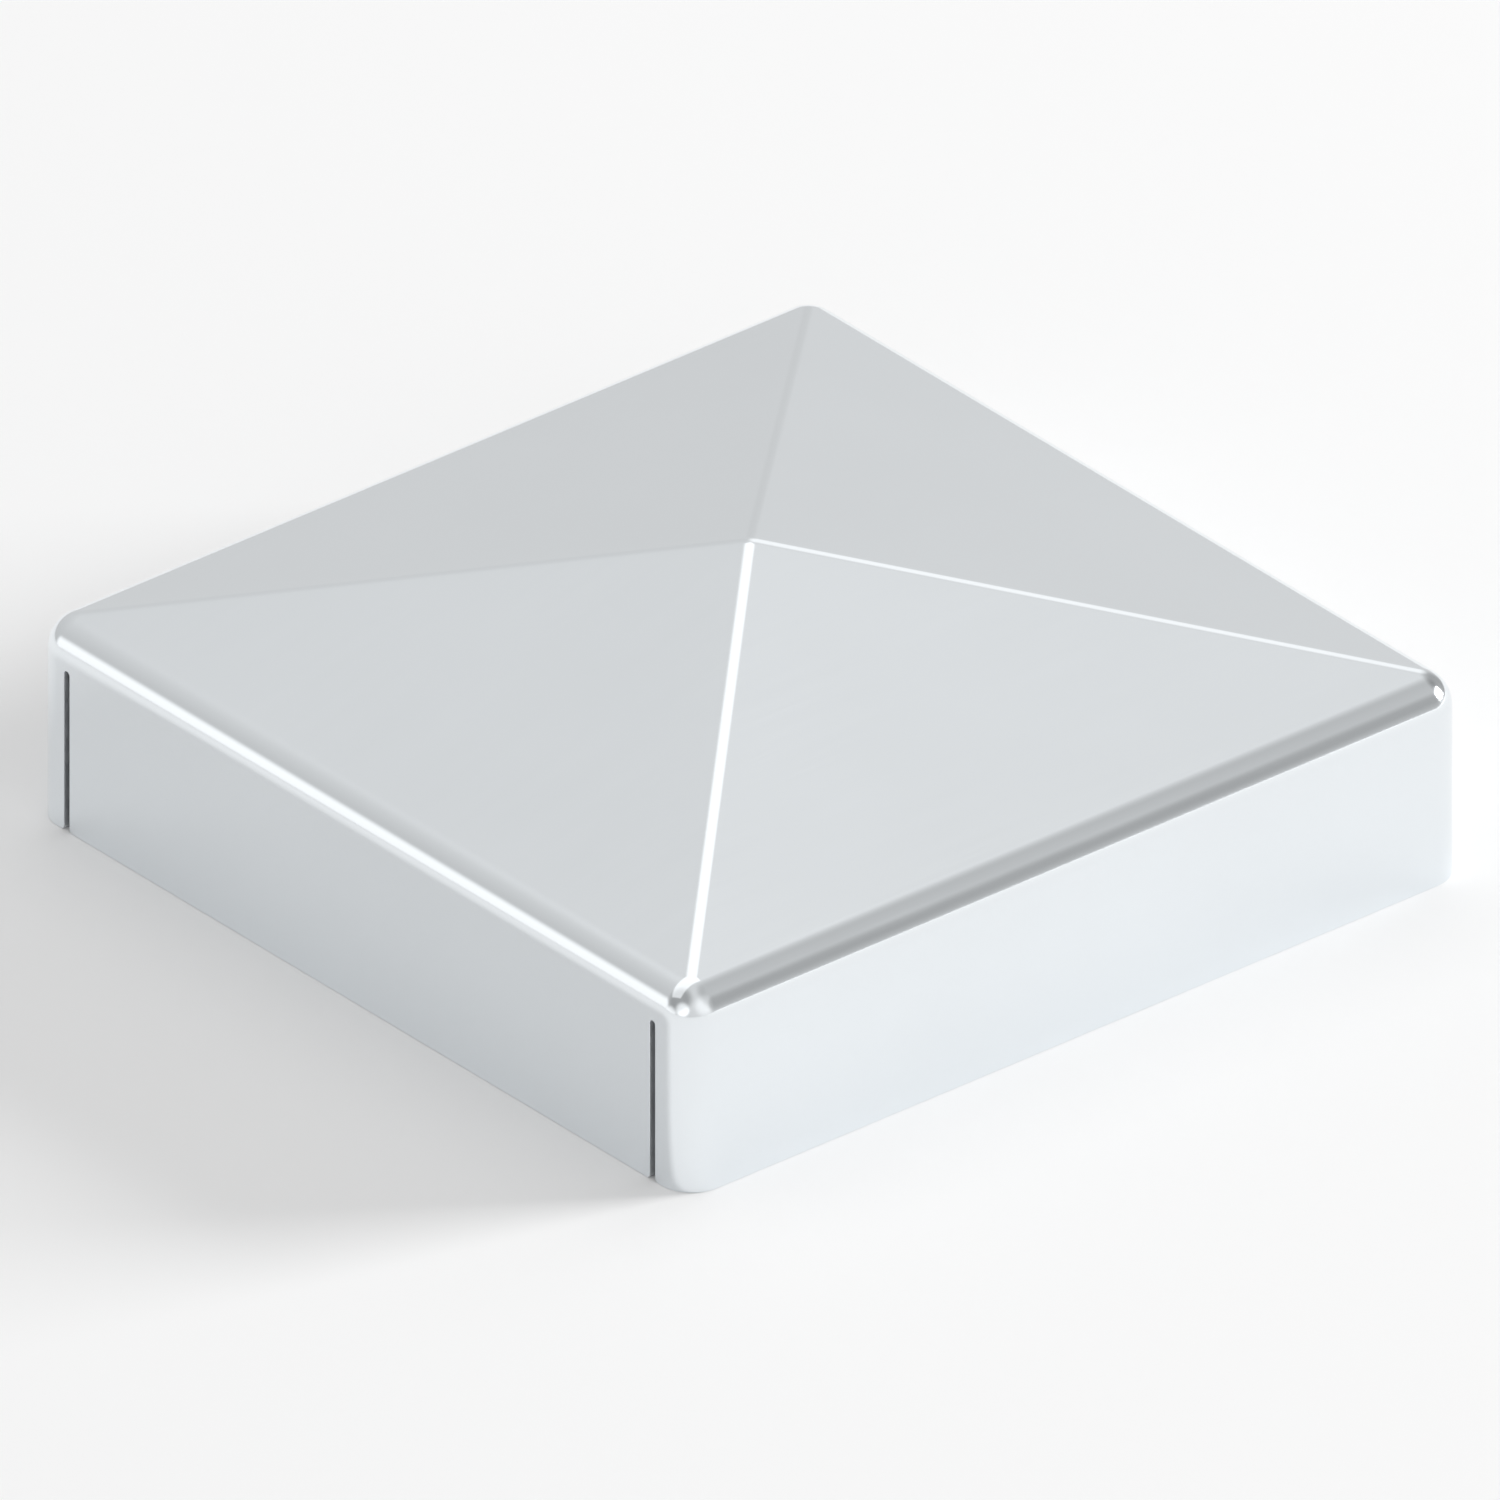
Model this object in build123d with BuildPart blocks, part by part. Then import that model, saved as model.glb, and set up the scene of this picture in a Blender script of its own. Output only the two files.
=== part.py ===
from build123d import *

import os
from math import radians, tan

os.makedirs("parts", exist_ok=True)

# Post cap folded from one sheet: a low pyramid roof over four skirts that drop round a square post.
# The origin is the centre of the rim plane and +Z points up, through the apex of the roof.
# The X sides are plain flaps. The Y sides carry tabs that wrap round the corners to meet the flaps.

# Driving dimensions in millimetres and degrees
post_side = 100.0
post_clearance = 0.5
sheet_thickness = 1.0
bend_inside_radius = 3.0
skirt_height = 19.4
roof_pitch = 14.0
tab_flat = 1.1
slit_width = 0.8
slit_stop = 0.8
slit_mouth_radius = 0.5

# Sizes that follow from them
inside_half = post_side / 2 + post_clearance
bend_outside_radius = bend_inside_radius + sheet_thickness
bend_centre_half = inside_half - bend_inside_radius
roof_rise = bend_centre_half * tan(radians(roof_pitch))
slit_top = skirt_height - slit_stop
slit_centre = bend_centre_half - tab_flat - slit_width / 2
foot_below_rim = 2 * bend_outside_radius


with BuildPart() as post_cap:
    # Sharp form through the centres of all the bends: two gabled prisms crossed at right angles
    for gable_plane, combine in ((Plane.XZ, Mode.ADD), (Plane.YZ, Mode.INTERSECT)):
        with BuildSketch(gable_plane):
            with BuildLine():
                Polyline(
                    (-bend_centre_half, -foot_below_rim),
                    (bend_centre_half, -foot_below_rim),
                    (bend_centre_half, skirt_height),
                    (0, skirt_height + roof_rise),
                    (-bend_centre_half, skirt_height),
                    close=True,
                )
            make_face()
        extrude(amount=bend_centre_half, both=True, mode=combine)
    bend_centres = post_cap.part

    # Both faces of the sheet lie at an even distance from that form, so hips, eaves, corners and
    # apex are all rounded, with a ball where the bends meet
    offset(amount=bend_outside_radius)
    offset(bend_centres, amount=bend_inside_radius, mode=Mode.SUBTRACT)

    # Rim
    split(bisect_by=Plane.XY, keep=Keep.TOP)

    # Slits that part each flap from the tabs at its ends, open at the rim and round at the top
    with BuildSketch(Plane.YZ):
        with GridLocations(2 * slit_centre, 0, 2, 1):
            SlotOverall(2 * slit_top, slit_width, rotation=90)
    extrude(amount=2 * inside_half, both=True, mode=Mode.SUBTRACT)

    # Eased corners of flaps and tabs where the slits open at the rim
    rim_edges = post_cap.edges().filter_by_position(Axis.Z, 0, 0)
    slit_mouths = rim_edges.filter_by(Axis.X).group_by(SortBy.LENGTH)[0]
    fillet(slit_mouths, radius=slit_mouth_radius)

post_cap.part.label = "post_cap"
export_step(post_cap.part, "parts/post_cap.step")
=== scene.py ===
"""Post cap folded from one bright sheet, standing on its rim on a pale studio floor."""

import math
from typing import NamedTuple

import bmesh
import bpy
from bpy.props import FloatProperty, FloatVectorProperty, IntProperty, PointerProperty
from mathutils import Matrix, Vector


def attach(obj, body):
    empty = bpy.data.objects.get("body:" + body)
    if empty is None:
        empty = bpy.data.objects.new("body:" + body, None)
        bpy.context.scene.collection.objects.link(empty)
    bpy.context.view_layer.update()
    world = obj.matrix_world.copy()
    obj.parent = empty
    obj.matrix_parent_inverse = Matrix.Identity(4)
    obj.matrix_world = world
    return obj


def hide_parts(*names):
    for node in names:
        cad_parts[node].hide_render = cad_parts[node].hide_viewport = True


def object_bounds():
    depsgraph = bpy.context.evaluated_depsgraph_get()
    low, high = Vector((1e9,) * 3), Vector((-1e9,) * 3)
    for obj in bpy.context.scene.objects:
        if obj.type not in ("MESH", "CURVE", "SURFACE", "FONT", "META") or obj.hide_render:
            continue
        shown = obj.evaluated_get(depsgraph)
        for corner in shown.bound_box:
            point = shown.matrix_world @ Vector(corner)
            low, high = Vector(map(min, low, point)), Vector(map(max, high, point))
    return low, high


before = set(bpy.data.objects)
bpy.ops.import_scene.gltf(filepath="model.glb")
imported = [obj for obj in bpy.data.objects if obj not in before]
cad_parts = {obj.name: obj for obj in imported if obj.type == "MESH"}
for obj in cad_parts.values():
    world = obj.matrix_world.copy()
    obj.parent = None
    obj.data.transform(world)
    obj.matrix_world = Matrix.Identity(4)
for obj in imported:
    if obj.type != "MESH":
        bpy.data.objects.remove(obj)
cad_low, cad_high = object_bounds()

bl_info = {
    "name": "Post cap",
    "version": (1, 0, 0),
    "blender": (4, 5, 0),
    "location": "View3D > Sidebar > Post cap",
    "description": "Folds the sheet of a square post cap and sets it on a studio floor",
    "category": "Object",
}

NODE = "post_cap"

# Distance in metres at which two points count as one
SAME_PLACE = 1e-6

# Material slots of the sheet
ROLLED_FACE = 0
CUT_EDGE = 1

# How squarely a face looks sideways to count as part of a flap, or as part of a skirt
FLAP_FACING = 0.999
SKIRT_FACING = 0.7

# Faces across the small roundings of the slits and of the cut edges
SLIT_STEPS = 5
EDGE_STEPS = 2

# Radius of a slit's round top as a share of its width, just under half so that the two arcs don't meet
SLIT_TOP_SHARE = 0.49

# Range of values that a noise texture mostly gives
NOISE_LOW = 0.25
NOISE_HIGH = 0.75


class CapSheetSettings(bpy.types.PropertyGroup):
    """Sizes of the folded sheet."""

    side: FloatProperty(
        name="Outside side",
        description="Width of the cap across two opposite skirts",
        default=cad_high.x - cad_low.x,
        precision=4,
        unit="LENGTH",
    )
    sheet_thickness: FloatProperty(
        name="Sheet thickness",
        description="Thickness of the metal sheet",
        default=0.001,
        precision=4,
        unit="LENGTH",
    )
    bend_inside_radius: FloatProperty(
        name="Bend radius",
        description="Inside radius of every fold",
        default=0.003,
        precision=4,
        unit="LENGTH",
    )
    skirt_height: FloatProperty(
        name="Skirt height",
        description="Height from the rim to the start of the eave fold",
        default=0.0194,
        precision=4,
        unit="LENGTH",
    )
    roof_pitch: FloatProperty(
        name="Roof pitch",
        description="Slope of the four roof faces",
        default=math.radians(14),
        subtype="ANGLE",
    )
    tab_flat: FloatProperty(
        name="Tab flat",
        description="Flat length of a tab between its corner fold and the slit",
        default=0.0011,
        precision=4,
        unit="LENGTH",
    )
    slit_width: FloatProperty(
        name="Slit width",
        description="Width of the slit between a tab and its flap",
        default=0.0008,
        precision=4,
        unit="LENGTH",
    )
    slit_stop: FloatProperty(
        name="Slit stop",
        description="Distance from the top of a slit to the eave fold",
        default=0.0008,
        precision=4,
        unit="LENGTH",
    )
    slit_mouth_radius: FloatProperty(
        name="Slit mouth radius",
        description="Rounding of the flap and tab corners where a slit opens at the rim",
        default=0.0005,
        precision=4,
        unit="LENGTH",
    )
    edge_break: FloatProperty(
        name="Edge break",
        description="Width of the dulled edge along the cut sheet",
        default=0.0001,
        precision=5,
        unit="LENGTH",
    )
    fold_steps: IntProperty(
        name="Fold steps",
        description="Faces across each fold",
        default=16,
        min=4,
    )


class MetalSettings(bpy.types.PropertyGroup):
    """Finish of the sheet."""

    face_colour: FloatVectorProperty(
        name="Face colour",
        description="Colour of the bright rolled face",
        default=(0.865, 0.9, 0.925),
        subtype="COLOR",
        min=0,
        max=1,
    )
    face_roughness: FloatProperty(
        name="Face roughness",
        description="Mean roughness of the rolled face",
        default=0.12,
        subtype="FACTOR",
    )
    edge_colour: FloatVectorProperty(
        name="Edge colour",
        description="Colour of the cut edge of the sheet",
        default=(0.72, 0.74, 0.76),
        subtype="COLOR",
        min=0,
        max=1,
    )
    edge_roughness: FloatProperty(
        name="Edge roughness",
        description="Mean roughness of the cut edge",
        default=0.6,
        subtype="FACTOR",
    )
    streak_length: FloatProperty(
        name="Streak length",
        description="Length of the streaks that the rolls leave along the sheet",
        default=0.025,
        unit="LENGTH",
    )
    streak_width: FloatProperty(
        name="Streak width",
        description="Width of the streaks across the sheet",
        default=0.00025,
        precision=5,
        unit="LENGTH",
    )
    streak_depth: FloatProperty(
        name="Streak depth",
        description="Depth of the streaks",
        default=0.0000005,
        precision=8,
        unit="LENGTH",
    )


class StageSettings(bpy.types.PropertyGroup):
    """Floor, light and camera."""

    floor_colour: FloatVectorProperty(
        name="Floor colour",
        description="Colour of the studio floor",
        default=(0.93, 0.93, 0.93),
        subtype="COLOR",
        min=0,
        max=1,
    )
    room_level: FloatProperty(
        name="Room level",
        description="Brightness of the room round the cap",
        default=0.69,
    )
    room_slope: FloatProperty(
        name="Room slope",
        description="How much brighter the room is towards its bright side",
        default=0.16,
    )
    camera_azimuth: FloatProperty(
        name="Camera azimuth",
        description="Turn of the camera round the cap, from the front",
        default=math.radians(-40),
        subtype="ANGLE",
    )
    camera_elevation: FloatProperty(
        name="Camera elevation",
        description="Height of the camera above the horizon",
        default=math.radians(30),
        subtype="ANGLE",
    )
    view_width: FloatProperty(
        name="View width",
        description="Width of the picture at the cap",
        default=0.15147,
        precision=4,
        unit="LENGTH",
    )
    aim_height: FloatProperty(
        name="Aim height",
        description="Height on the cap's axis at the middle of the picture",
        default=0.01073,
        precision=4,
        unit="LENGTH",
    )


class Finish(NamedTuple):
    """How the rolled grain shows on one kind of surface of the sheet.

    The relief counts in streak depths, and the spreads are shares of the mean tone and roughness.
    """

    name: str
    place: str
    cloud_size: float
    relief: float
    tone_spread: float
    roughness_spread: float


class Softbox(NamedTuple):
    """A lamp panel that faces the cap, in metres and degrees. Azimuths go from +X towards +Y."""

    name: str
    azimuth: float
    elevation: float
    width: float
    height: float
    brightness: float
    roll: float = 0


class RoomPatch(NamedTuple):
    """A dark screen or a bright wall in the room, even in its core and soft out to its reach, in degrees.

    Its level multiplies the brightness that the room has there.
    """

    name: str
    azimuth: float
    elevation: float
    core: float
    reach: float
    level: float


BRIGHT_SHEET = Finish("bright_sheet", "UV", 0.03, 1, 0.02, 0.2)
SHEARED_EDGE = Finish("sheared_edge", "Object", 0.004, 20, 0.03, 0.3)

SOFTBOXES = (
    Softbox("right_key", -26, 18.5, 1.04, 1.04, 19),
    Softbox("overhead_panel", 110.5, 67, 4.9, 1.9, 0.35, -15.5),
)
SOFTBOX_DISTANCE = 3

# Watts for each square metre of a softbox at a brightness of 1
WATTS_PER_BRIGHTNESS = 4

ROOM_PATCHES = (
    RoomPatch("right_screen", 306, 15, 10, 26, 0.68),
    RoomPatch("high_screen", 318, 40, 20, 45, 0.66),
    RoomPatch("left_screen", 180, 40, 20, 43, 0.58),
    RoomPatch("ceiling", 230, 75, 20, 44, 0.9),
    RoomPatch("left_wall", 200, 18, 5, 25, 2.5),
    RoomPatch("left_low_wall", 167, 0, 9, 19, 1.9),
    RoomPatch("back_wall", 138, 6.5, 5.5, 19, 1.95),
    RoomPatch("right_wall", 38.7, 29, 5, 14, 1.45),
    RoomPatch("back_gap", 49.5, 10, 1, 6, 0.93),
    RoomPatch("left_gap", 60.5, 26.5, 4, 14, 0.95),
    RoomPatch("far_right_screen", 0, 20, 14, 38, 0.5),
    RoomPatch("front_wall", 272, 28, 10, 36, 1.28),
)

# Azimuth and elevation of the room's bright side
BRIGHT_SIDE = (315, 35)

# Brightness of the ground past the floor, and the sine of the angle below the horizon where it is reached
GROUND_LEVEL = 0.92
GROUND_EDGE = 0.03

FLOOR_HALF = 2.5
CAMERA_DISTANCE = 0.6


def new_object(name, data):
    """Link a new object to the scene."""
    obj = bpy.data.objects.new(name, data)
    bpy.context.scene.collection.objects.link(obj)
    return obj


def direction(azimuth, elevation):
    """Unit vector towards a place in the room, with angles in degrees."""
    turn, rise = math.radians(azimuth), math.radians(elevation)
    return Vector((math.cos(turn) * math.cos(rise), math.sin(turn) * math.cos(rise), math.sin(rise)))


def new_faces(bm, before):
    """The faces made since a set of faces was taken."""
    return [f for f in bm.faces if f not in before]


def parts_of(faces):
    """Some faces with their edges and vertices, each once."""
    return list(dict.fromkeys(part for f in faces for part in (f, *f.edges, *f.verts)))


def bend_centre_half(cap):
    """Half the distance between the centres of two opposite folds."""
    return cap.side / 2 - cap.sheet_thickness - cap.bend_inside_radius


def level_line(bm, centre, radius, tilt, run, steps):
    """Draw one line of the skin round a corner, from the middle of one side to the middle of the next."""
    towards_first = Vector((0, -math.cos(tilt), math.sin(tilt)))
    towards_last = Vector((-math.cos(tilt), 0, math.sin(tilt)))
    before = set(bm.edges)
    first = bm.verts.new(centre + radius * towards_first)
    spun = bmesh.ops.spin(
        bm,
        geom=[first],
        cent=centre,
        axis=towards_first.cross(towards_last),
        angle=towards_first.angle(towards_last),
        steps=steps,
    )
    last = next(e for e in spun["geom_last"] if isinstance(e, bmesh.types.BMVert))
    for corner, along in ((first, Vector((1, 0, 0))), (last, Vector((0, 1, 0)))):
        middle = bmesh.ops.extrude_vert_indiv(bm, verts=[corner])["verts"]
        bmesh.ops.translate(bm, verts=middle, vec=along * run)
    return [e for e in bm.edges if e not in before]


def add_skin(bm, cap, radius, facing_out):
    """Add one face of the sheet, at an even distance from the centres of the folds."""
    before = set(bm.faces)
    half = bend_centre_half(cap)
    upright_to_roof = math.pi / 2 - cap.roof_pitch
    rim_corner = Vector((-half, -half, 0))
    eave_corner = Vector((-half, -half, cap.skirt_height))
    apex = Vector((0, 0, cap.skirt_height + half * math.tan(cap.roof_pitch)))

    lines = [level_line(bm, rim_corner, radius, 0, half, cap.fold_steps)]
    for step in range(cap.fold_steps + 1):
        tilt = upright_to_roof * step / cap.fold_steps
        lines.append(level_line(bm, eave_corner, radius, tilt, half, cap.fold_steps))
    lines.append(level_line(bm, apex, radius, upright_to_roof, 0, cap.fold_steps))
    for lower, upper in zip(lines, lines[1:]):
        bmesh.ops.bridge_loops(bm, edges=lower + upper)

    for axis in ("X", "Y"):
        drawn = parts_of(new_faces(bm, before))
        bmesh.ops.mirror(bm, geom=drawn, matrix=Matrix.Identity(4), merge_dist=SAME_PLACE, axis=axis)
    corners = dict.fromkeys(v for f in new_faces(bm, before) for v in f.verts)
    bmesh.ops.remove_doubles(bm, verts=list(corners), dist=SAME_PLACE)

    # Close the small opening round the apex
    open_edges = dict.fromkeys(e for f in new_faces(bm, before) for e in f.edges if e.is_boundary)
    peak_edges = [e for e in open_edges if min(v.co.z for v in e.verts) > cap.skirt_height]
    peak = bmesh.ops.contextual_create(bm, geom=peak_edges)["faces"]
    tip = bmesh.ops.poke(bm, faces=peak)["verts"]
    tip[0].co = apex + Vector((0, 0, radius))

    skin = new_faces(bm, before)
    bmesh.ops.recalc_face_normals(bm, faces=skin)
    if not facing_out:
        bmesh.ops.reverse_faces(bm, faces=skin)


def flap_faces(bm, below):
    """The faces of the flaps on the X sides that lie below a height."""
    return [f for f in bm.faces if abs(f.normal.x) > FLAP_FACING and f.calc_center_median().z < below]


def cut_faces(bm, faces, point, normal):
    """Cut some faces along a plane."""
    bmesh.ops.bisect_plane(bm, geom=parts_of(faces), dist=SAME_PLACE / 10, plane_co=point, plane_no=normal)


def cut_slits(bm, cap, centre, top):
    """Open the slits between the flaps and the tabs at their ends."""
    cut_faces(bm, flap_faces(bm, cap.skirt_height), (0, 0, top), (0, 0, 1))
    for end in (-1, 1):
        for edge in (-1, 1):
            place = end * centre + edge * cap.slit_width / 2
            cut_faces(bm, flap_faces(bm, top), (0, place, 0), (0, 1, 0))
    slits = [
        f for f in flap_faces(bm, top)
        if abs(abs(f.calc_center_median().y) - centre) < cap.slit_width / 2
    ]
    bmesh.ops.delete(bm, geom=slits, context="FACES")

    # The level cut is only needed inside the slits
    level_cut = [
        e for e in bm.edges
        if len(e.link_faces) == 2 and max(abs(v.co.z - top) for v in e.verts) < SAME_PLACE
    ]
    ends = dict.fromkeys(v for e in level_cut for v in e.verts)
    bmesh.ops.dissolve_edges(bm, edges=level_cut, use_verts=False)
    bmesh.ops.dissolve_verts(bm, verts=[v for v in ends if len(v.link_edges) == 2 and not v.is_boundary])


def slit_corners(bm, cap, centre, height):
    """The short edges through the sheet at the corners of the slits, at a height."""
    found = []
    for edge in bm.edges:
        a, b = (v.co for v in edge.verts)
        level = max(abs(a.z - height), abs(b.z - height)) < SAME_PLACE
        through = abs(a.y - b.y) < SAME_PLACE and abs(abs(a.x - b.x) - cap.sheet_thickness) < SAME_PLACE
        beside_slit = abs(abs(abs(a.y) - centre) - cap.slit_width / 2) < SAME_PLACE
        if level and through and beside_slit:
            found.append(edge)
    return found


def round_edges(bm, edges, radius, segments):
    """Round some edges."""
    bmesh.ops.bevel(
        bm,
        geom=edges,
        offset=radius,
        offset_type="OFFSET",
        segments=segments,
        profile=0.5,
        affect="EDGES",
        clamp_overlap=True,
        material=-1,
    )


def lay_out_blank(bm, cap):
    """Mark each point's place on the flat blank, so that the rolled grain follows the folds."""
    blank = bm.loops.layers.uv.new("blank")
    for face in bm.faces:
        for loop in face.loops:
            x, y, z = loop.vert.co
            drop = cap.skirt_height - z
            if abs(face.normal.x) > SKIRT_FACING:
                x += math.copysign(drop, x)
            elif abs(face.normal.y) > SKIRT_FACING:
                y += math.copysign(drop, y)
            loop[blank].uv = (x, y)


def fold_sheet(cap):
    """Model the folded sheet and return its mesh."""
    bm = bmesh.new()
    add_skin(bm, cap, cap.bend_inside_radius + cap.sheet_thickness, facing_out=True)
    add_skin(bm, cap, cap.bend_inside_radius, facing_out=False)
    slit_centre = bend_centre_half(cap) - cap.tab_flat - cap.slit_width / 2
    slit_top = cap.skirt_height - cap.slit_stop
    cut_slits(bm, cap, slit_centre, slit_top)

    skins = set(bm.faces)
    bmesh.ops.bridge_loops(bm, edges=[e for e in bm.edges if e.is_boundary])
    for face in bm.faces:
        face.material_index = ROLLED_FACE if face in skins else CUT_EDGE

    slit_mouths = slit_corners(bm, cap, slit_centre, 0)
    round_edges(bm, slit_mouths, cap.slit_mouth_radius, SLIT_STEPS)
    slit_tops = slit_corners(bm, cap, slit_centre, slit_top)
    round_edges(bm, slit_tops, cap.slit_width * SLIT_TOP_SHARE, SLIT_STEPS)
    cut_lines = [e for e in bm.edges if len({f.material_index for f in e.link_faces}) == 2]
    round_edges(bm, cut_lines, cap.edge_break, EDGE_STEPS)

    lay_out_blank(bm, cap)
    for face in bm.faces:
        face.smooth = True
    mesh = bpy.data.meshes.new("post_cap_sheet")
    bm.to_mesh(mesh)
    bm.free()
    return mesh


def rolled_grain_group():
    """Node group for the marks of the rolls: fine streaks along the sheet and a slow cloudiness."""
    group = bpy.data.node_groups.new("rolled_grain", "ShaderNodeTree")
    sockets = group.interface
    sockets.new_socket("Place", in_out="INPUT", socket_type="NodeSocketVector")
    sockets.new_socket("Streak length", in_out="INPUT", socket_type="NodeSocketFloat")
    sockets.new_socket("Streak width", in_out="INPUT", socket_type="NodeSocketFloat")
    sockets.new_socket("Cloud size", in_out="INPUT", socket_type="NodeSocketFloat")
    sockets.new_socket("Streaks", in_out="OUTPUT", socket_type="NodeSocketFloat")
    sockets.new_socket("Clouds", in_out="OUTPUT", socket_type="NodeSocketFloat")
    nodes, links = group.nodes, group.links
    given = nodes.new("NodeGroupInput")
    result = nodes.new("NodeGroupOutput")

    cell = nodes.new("ShaderNodeCombineXYZ")
    links.new(given.outputs["Streak length"], cell.inputs["X"])
    links.new(given.outputs["Streak width"], cell.inputs["Y"])
    links.new(given.outputs["Streak width"], cell.inputs["Z"])
    stretched = nodes.new("ShaderNodeVectorMath")
    stretched.operation = "DIVIDE"
    links.new(given.outputs["Place"], stretched.inputs[0])
    links.new(cell.outputs["Vector"], stretched.inputs[1])
    streaks = nodes.new("ShaderNodeTexNoise")
    streaks.inputs["Scale"].default_value = 1
    streaks.inputs["Detail"].default_value = 3
    streaks.inputs["Roughness"].default_value = 0.6
    links.new(stretched.outputs["Vector"], streaks.inputs["Vector"])
    links.new(streaks.outputs["Fac"], result.inputs["Streaks"])

    spread = nodes.new("ShaderNodeVectorMath")
    spread.operation = "DIVIDE"
    links.new(given.outputs["Place"], spread.inputs[0])
    links.new(given.outputs["Cloud size"], spread.inputs[1])
    clouds = nodes.new("ShaderNodeTexNoise")
    clouds.inputs["Scale"].default_value = 1
    clouds.inputs["Detail"].default_value = 2
    links.new(spread.outputs["Vector"], clouds.inputs["Vector"])
    links.new(clouds.outputs["Fac"], result.inputs["Clouds"])
    return group


def metal_material(finish, grain, colour, roughness, streak_size, streak_depth):
    """Bare metal whose roughness, tone and fine relief follow the rolled grain."""
    material = bpy.data.materials.new(finish.name)
    material.use_nodes = True
    nodes, links = material.node_tree.nodes, material.node_tree.links
    shader = nodes["Principled BSDF"]
    shader.inputs["Metallic"].default_value = 1

    coordinates = nodes.new("ShaderNodeTexCoord")
    marks = nodes.new("ShaderNodeGroup")
    marks.node_tree = grain
    marks.inputs["Streak length"].default_value, marks.inputs["Streak width"].default_value = streak_size
    marks.inputs["Cloud size"].default_value = finish.cloud_size
    links.new(coordinates.outputs[finish.place], marks.inputs["Place"])

    tone = nodes.new("ShaderNodeMix")
    tone.data_type = "RGBA"
    tone.inputs["A"].default_value = (*[c * (1 - finish.tone_spread) for c in colour], 1)
    tone.inputs["B"].default_value = (*[min(1, c * (1 + finish.tone_spread)) for c in colour], 1)
    links.new(marks.outputs["Clouds"], tone.inputs["Factor"])
    links.new(tone.outputs["Result"], shader.inputs["Base Color"])

    sheen = nodes.new("ShaderNodeMapRange")
    sheen.inputs["From Min"].default_value = NOISE_LOW
    sheen.inputs["From Max"].default_value = NOISE_HIGH
    sheen.inputs["To Min"].default_value = roughness * (1 - finish.roughness_spread)
    sheen.inputs["To Max"].default_value = roughness * (1 + finish.roughness_spread)
    links.new(marks.outputs["Streaks"], sheen.inputs["Value"])
    links.new(sheen.outputs["Result"], shader.inputs["Roughness"])

    relief = nodes.new("ShaderNodeBump")
    relief.inputs["Distance"].default_value = finish.relief * streak_depth
    links.new(marks.outputs["Streaks"], relief.inputs["Height"])
    links.new(relief.outputs["Normal"], shader.inputs["Normal"])
    return material


class POST_CAP_OT_fold_sheet(bpy.types.Operator):
    """Fold the sheet of the cap and give it its finish"""

    bl_idname = "post_cap.fold_sheet"
    bl_label = "Fold sheet"

    def execute(self, context):
        metal = context.scene.cap_metal
        grain = rolled_grain_group()
        bright_sheet = metal_material(
            BRIGHT_SHEET, grain, metal.face_colour, metal.face_roughness,
            (metal.streak_length, metal.streak_width), metal.streak_depth,
        )
        sheared_edge = metal_material(
            SHEARED_EDGE, grain, metal.edge_colour, metal.edge_roughness,
            (metal.streak_width, metal.streak_width), metal.streak_depth,
        )
        piece = new_object("post_cap_sheet", fold_sheet(context.scene.cap_sheet))
        piece.data.materials.append(bright_sheet)
        piece.data.materials.append(sheared_edge)
        shading = piece.modifiers.new("even_shading", "WEIGHTED_NORMAL")
        shading.mode = "FACE_AREA"
        shading.keep_sharp = True
        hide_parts(NODE)
        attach(piece, "root")
        return {"FINISHED"}


def lay_floor(stage):
    """Lay the plain floor that the rim stands on."""
    bm = bmesh.new()
    bmesh.ops.create_grid(bm, x_segments=1, y_segments=1, size=FLOOR_HALF)
    mesh = bpy.data.meshes.new("floor")
    bm.to_mesh(mesh)
    bm.free()
    floor = new_object("floor", mesh)
    material = bpy.data.materials.new("floor_paper")
    material.use_nodes = True
    shader = material.node_tree.nodes["Principled BSDF"]
    shader.inputs["Base Color"].default_value = (*stage.floor_colour, 1)
    shader.inputs["Roughness"].default_value = 1
    shader.inputs["Specular IOR Level"].default_value = 0
    floor.data.materials.append(material)


def hang_softbox(box):
    """Hang one softbox so that it faces the cap."""
    light = bpy.data.lights.new(box.name, "AREA")
    light.shape = "RECTANGLE"
    light.size = box.width
    light.size_y = box.height
    light.energy = WATTS_PER_BRIGHTNESS * box.width * box.height * box.brightness
    lamp = new_object(box.name, light)
    towards = direction(box.azimuth, box.elevation)
    facing = towards.to_track_quat("Z", "Y").to_matrix().to_4x4()
    roll = Matrix.Rotation(math.radians(box.roll), 4, "Z")
    lamp.matrix_world = Matrix.Translation(towards * SOFTBOX_DISTANCE) @ facing @ roll
    lamp.visible_camera = False


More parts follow.
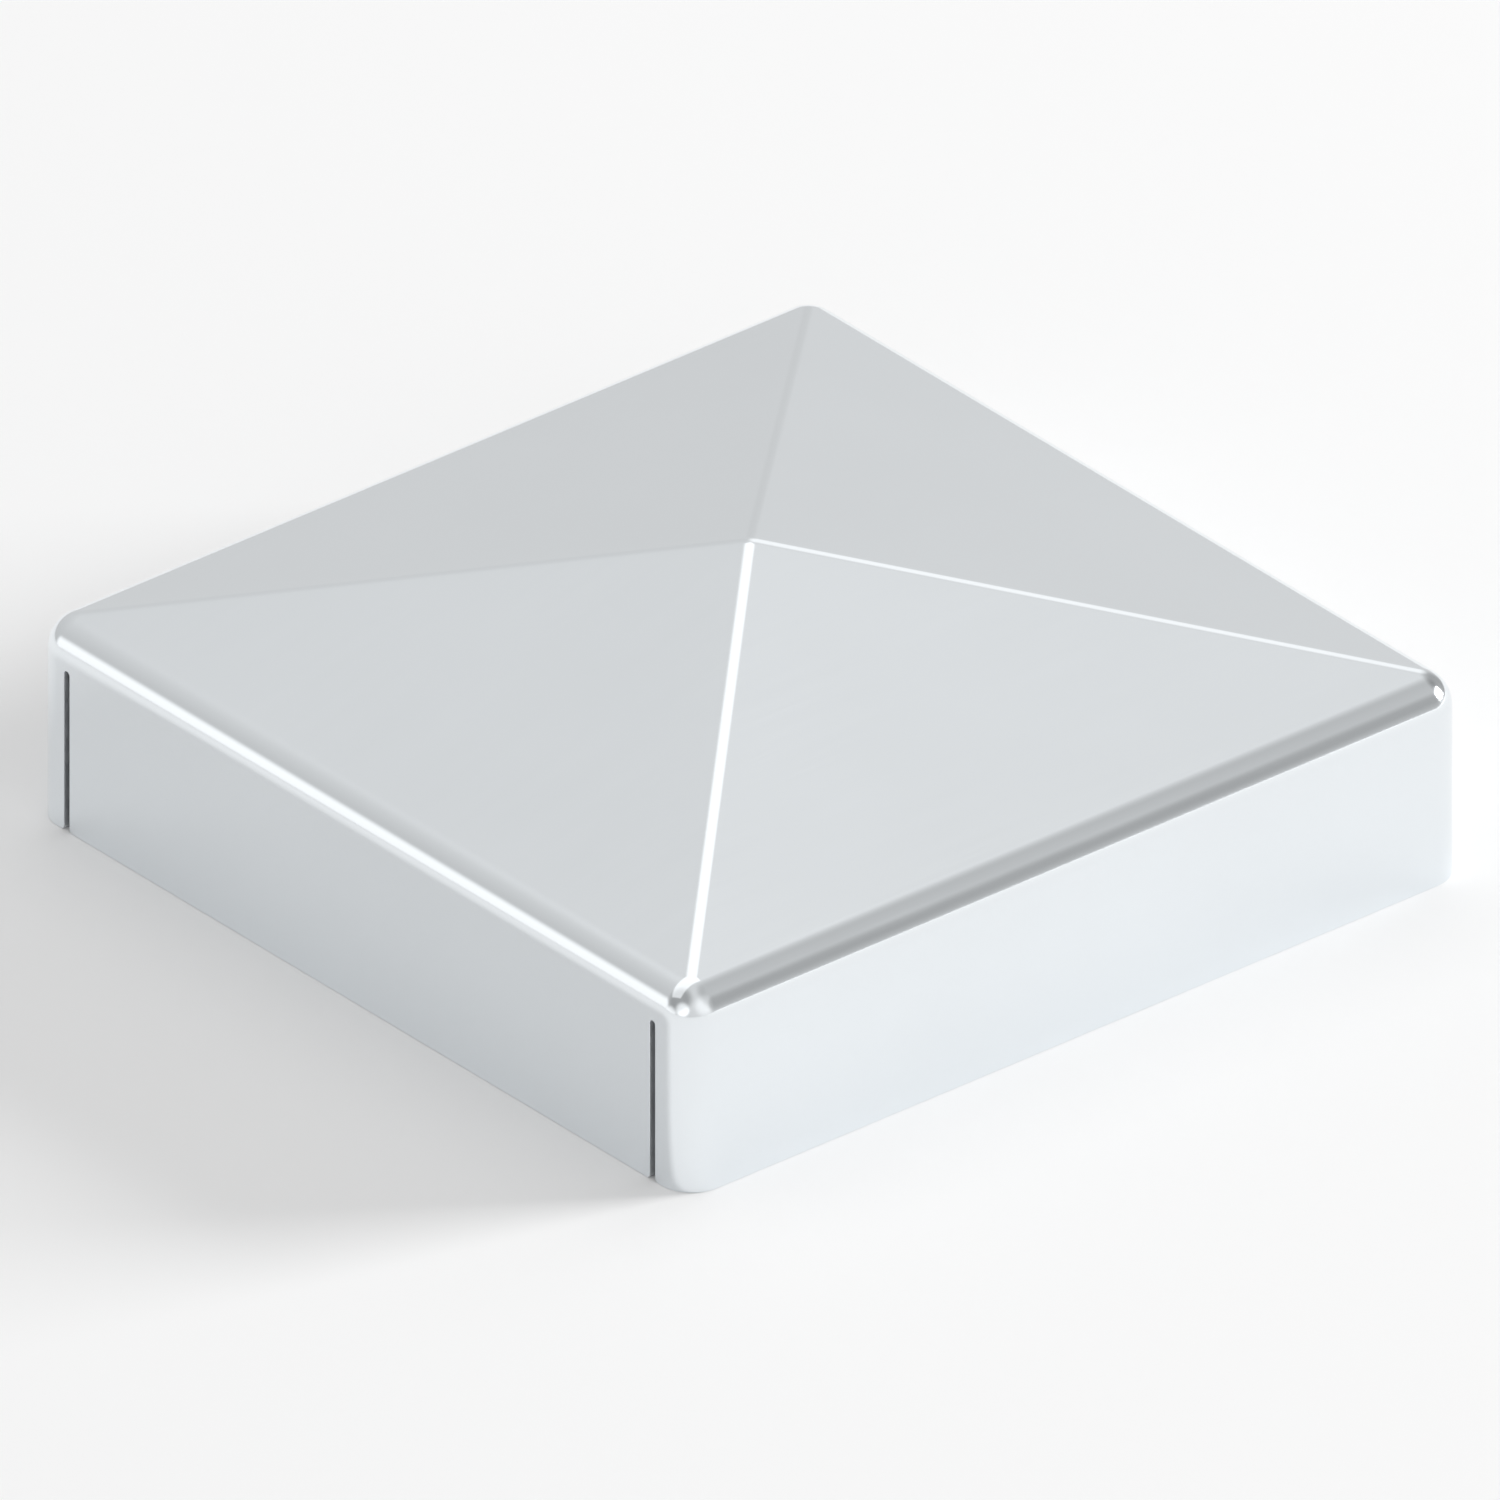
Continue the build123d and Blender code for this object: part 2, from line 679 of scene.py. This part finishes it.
def light_room(stage):
    """Light the room evenly, brighter to one side, with the dark and bright patches in it."""
    world = bpy.data.worlds.new("studio")
    world.use_nodes = True
    nodes, links = world.node_tree.nodes, world.node_tree.links
    background = nodes["Background"]
    background.inputs["Color"].default_value = (1, 1, 1, 1)
    coordinates = nodes.new("ShaderNodeTexCoord")

    def towards(azimuth, elevation):
        """How closely a line of sight points to a place in the room, as a cosine."""
        dot = nodes.new("ShaderNodeVectorMath")
        dot.operation = "DOT_PRODUCT"
        dot.inputs[1].default_value = direction(azimuth, elevation)
        links.new(coordinates.outputs["Generated"], dot.inputs[0])
        return dot.outputs["Value"]

    slope = nodes.new("ShaderNodeMath")
    slope.operation = "MULTIPLY_ADD"
    links.new(towards(*BRIGHT_SIDE), slope.inputs[0])
    slope.inputs[1].default_value = stage.room_slope
    slope.inputs[2].default_value = stage.room_level
    level = slope.outputs["Value"]
    for patch in ROOM_PATCHES:
        screen = nodes.new("ShaderNodeMapRange")
        screen.name = patch.name
        screen.interpolation_type = "SMOOTHSTEP"
        screen.inputs["From Min"].default_value = math.cos(math.radians(patch.reach))
        screen.inputs["From Max"].default_value = math.cos(math.radians(patch.core))
        screen.inputs["To Min"].default_value = 1
        screen.inputs["To Max"].default_value = patch.level
        links.new(towards(patch.azimuth, patch.elevation), screen.inputs["Value"])
        patched = nodes.new("ShaderNodeMath")
        patched.operation = "MULTIPLY"
        links.new(level, patched.inputs[0])
        links.new(screen.outputs["Result"], patched.inputs[1])
        level = patched.outputs["Value"]

    # Pale ground below the horizon, past the edge of the floor
    ground = nodes.new("ShaderNodeMapRange")
    ground.inputs["From Max"].default_value = GROUND_EDGE
    links.new(towards(0, -90), ground.inputs["Value"])
    grounded = nodes.new("ShaderNodeMix")
    links.new(ground.outputs["Result"], grounded.inputs["Factor"])
    links.new(level, grounded.inputs["A"])
    grounded.inputs["B"].default_value = GROUND_LEVEL
    links.new(grounded.outputs["Result"], background.inputs["Strength"])
    bpy.context.scene.world = world


def place_camera(stage):
    """Place the camera at the photograph's viewing angle, with parallel lines of sight."""
    # The camera's azimuth counts from the front, which is the -Y side
    azimuth = math.degrees(stage.camera_azimuth) - 90
    back = direction(azimuth, math.degrees(stage.camera_elevation))
    camera = new_object("camera", bpy.data.cameras.new("camera"))
    camera.data.type = "ORTHO"
    camera.data.ortho_scale = stage.view_width
    camera.location = Vector((0, 0, stage.aim_height)) + back * CAMERA_DISTANCE
    camera.rotation_mode = "QUATERNION"
    camera.rotation_quaternion = (-back).to_track_quat("-Z", "Y")
    bpy.context.scene.camera = camera


class POST_CAP_OT_set_stage(bpy.types.Operator):
    """Lay the floor, hang the lamps and place the camera"""

    bl_idname = "post_cap.set_stage"
    bl_label = "Set stage"

    def execute(self, context):
        stage = context.scene.cap_stage
        lay_floor(stage)
        light_room(stage)
        for box in SOFTBOXES:
            hang_softbox(box)
        place_camera(stage)
        context.scene.view_settings.view_transform = "Standard"
        return {"FINISHED"}


class POST_CAP_PT_sidebar(bpy.types.Panel):
    """Sizes, finish and steps of the post cap"""

    bl_idname = "POST_CAP_PT_sidebar"
    bl_label = "Post cap"
    bl_space_type = "VIEW_3D"
    bl_region_type = "UI"
    bl_category = "Post cap"

    def draw(self, context):
        layout = self.layout
        for group in (context.scene.cap_sheet, context.scene.cap_metal, context.scene.cap_stage):
            box = layout.box()
            for name in group.__annotations__:
                box.prop(group, name)
        layout.operator(POST_CAP_OT_fold_sheet.bl_idname)
        layout.operator(POST_CAP_OT_set_stage.bl_idname)


CLASSES = (
    CapSheetSettings,
    MetalSettings,
    StageSettings,
    POST_CAP_OT_fold_sheet,
    POST_CAP_OT_set_stage,
    POST_CAP_PT_sidebar,
)


def register():
    """Add the settings, the operators and the panel to Blender."""
    for cls in CLASSES:
        bpy.utils.register_class(cls)
    bpy.types.Scene.cap_sheet = PointerProperty(type=CapSheetSettings)
    bpy.types.Scene.cap_metal = PointerProperty(type=MetalSettings)
    bpy.types.Scene.cap_stage = PointerProperty(type=StageSettings)


def unregister():
    """Take them out again."""
    del bpy.types.Scene.cap_stage
    del bpy.types.Scene.cap_metal
    del bpy.types.Scene.cap_sheet
    for cls in reversed(CLASSES):
        bpy.utils.unregister_class(cls)


def main():
    """Build the cap and its stage."""
    register()
    bpy.ops.post_cap.fold_sheet()
    bpy.ops.post_cap.set_stage()


if __name__ == "__main__":
    main()
